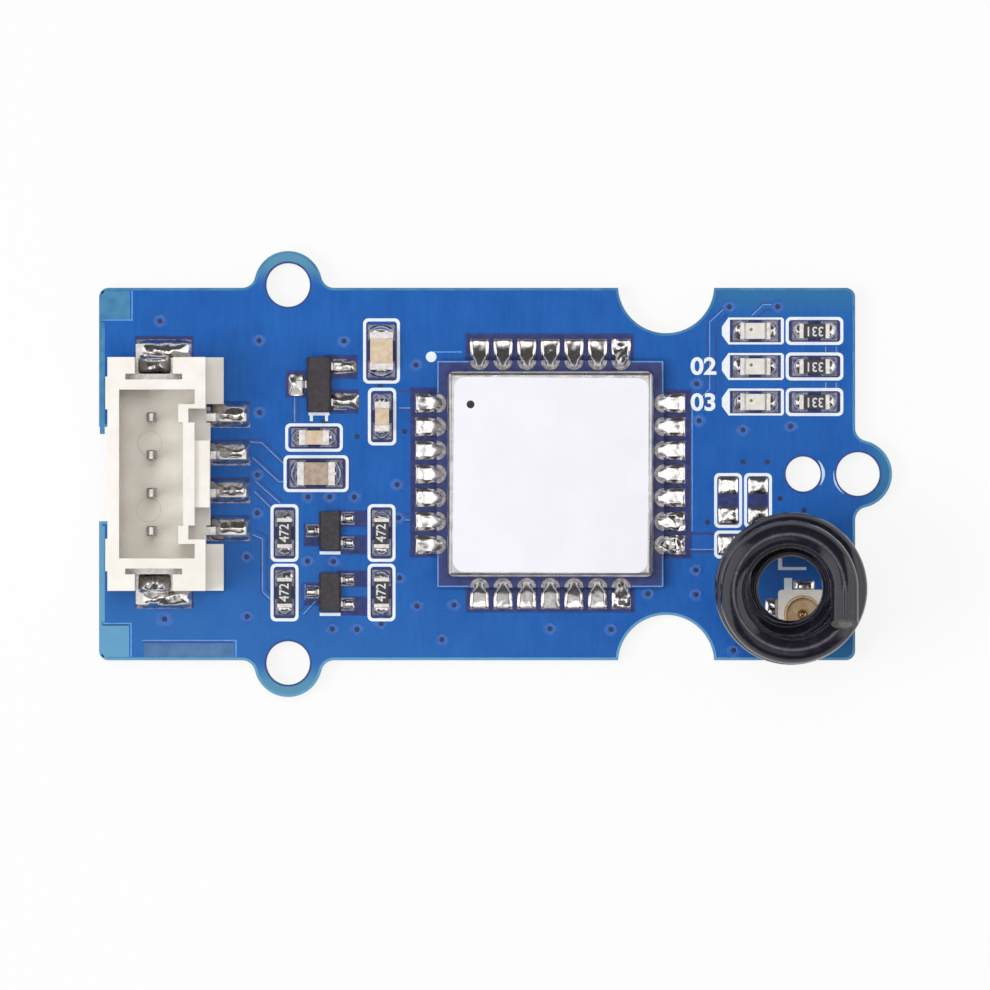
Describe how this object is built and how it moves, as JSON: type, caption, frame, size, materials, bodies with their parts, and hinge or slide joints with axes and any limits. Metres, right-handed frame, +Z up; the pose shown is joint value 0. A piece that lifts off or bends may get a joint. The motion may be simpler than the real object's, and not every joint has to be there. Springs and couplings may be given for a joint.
{
  "type": "radio transceiver module board",
  "caption": "Small circuit board with a plug socket, a shielded radio module, indicator lights, a coax socket and a wound wire antenna.",
  "frame": {"origin": "middle of the board's outline, ears included, on the board's underside", "axes": "+X along the board from the plug socket to the end ear, +Y across the board from the antenna's side to the lights' side, +Z up from the parts side"},
  "size_m": [0.042, 0.0236, 0.0132],
  "materials": {
    "blue_mask": "satin solder mask over glass laminate",
    "white_print": "matt printed ink",
    "tinned_copper": "tinned copper",
    "solder": "bright solder",
    "module_mask": "dark solder mask",
    "gold_plate": "thin gold plating",
    "can_sheet": "plain tinned sheet",
    "label_film": "satin white film",
    "black_mould": "matt moulding compound",
    "white_ceramic": "fired ceramic",
    "socket_nylon": "moulded nylon",
    "tin_plate": "matt tin plating",
    "tan_ceramic": "fired ceramic",
    "brown_ceramic": "fired ceramic",
    "resistor_coat": "black glass coat",
    "lens_resin": "clear to cream resin",
    "coax_plastic": "moulded plastic",
    "wire_jacket": "glossy black wire jacket"
  },
  "bodies": {
    "root": {"antenna_coil": "wire_jacket", "antenna_lead": "tin_plate", "can_label": "label_film", "capacitor_1_body": "tan_ceramic", "capacitor_1_ends": "tin_plate", "capacitor_2_body": "tan_ceramic", "capacitor_2_ends": "tin_plate", "capacitor_3_body": "tan_ceramic", "capacitor_3_ends": "tin_plate", "capacitor_4_body": "brown_ceramic", "capacitor_4_ends": "tin_plate", "circuit_board": "blue_mask", "coax_base": "coax_plastic", "coax_pin": "gold_plate", "coax_ring": "gold_plate", "light_1_base": "white_ceramic", "light_1_ends": "tin_plate", "light_1_lens": "lens_resin", "light_2_base": "white_ceramic", "light_2_ends": "tin_plate", "light_2_lens": "lens_resin", "light_3_base": "white_ceramic", "light_3_ends": "tin_plate", "light_3_lens": "lens_resin", "module_board": "module_mask", "module_crystals": "can_sheet", "module_inductors": "white_ceramic", "module_solder": "solder", "module_terminals": "gold_plate", "part_solder": "solder", "radio_chip": "black_mould", "regulator_body": "black_mould", "regulator_leads": "tin_plate", "resistor_1_body": "resistor_coat", "resistor_1_ends": "tin_plate", "resistor_2_body": "resistor_coat", "resistor_2_ends": "tin_plate", "resistor_3_body": "resistor_coat", "resistor_3_ends": "tin_plate", "resistor_4_body": "resistor_coat", "resistor_4_ends": "tin_plate", "resistor_5_body": "resistor_coat", "resistor_5_ends": "tin_plate", "resistor_6_body": "resistor_coat", "resistor_6_ends": "tin_plate", "resistor_7_body": "resistor_coat", "resistor_7_ends": "tin_plate", "shield_can": "can_sheet", "silkscreen": "white_print", "socket_housing": "socket_nylon", "socket_pin_1": "tin_plate", "socket_pin_2": "tin_plate", "socket_pin_3": "tin_plate", "socket_pin_4": "tin_plate", "socket_tabs": "tin_plate", "solder_pads": "tinned_copper", "transistor_1_body": "black_mould", "transistor_1_leads": "tin_plate", "transistor_2_body": "black_mould", "transistor_2_leads": "tin_plate"}
  },
  "joints": []
}
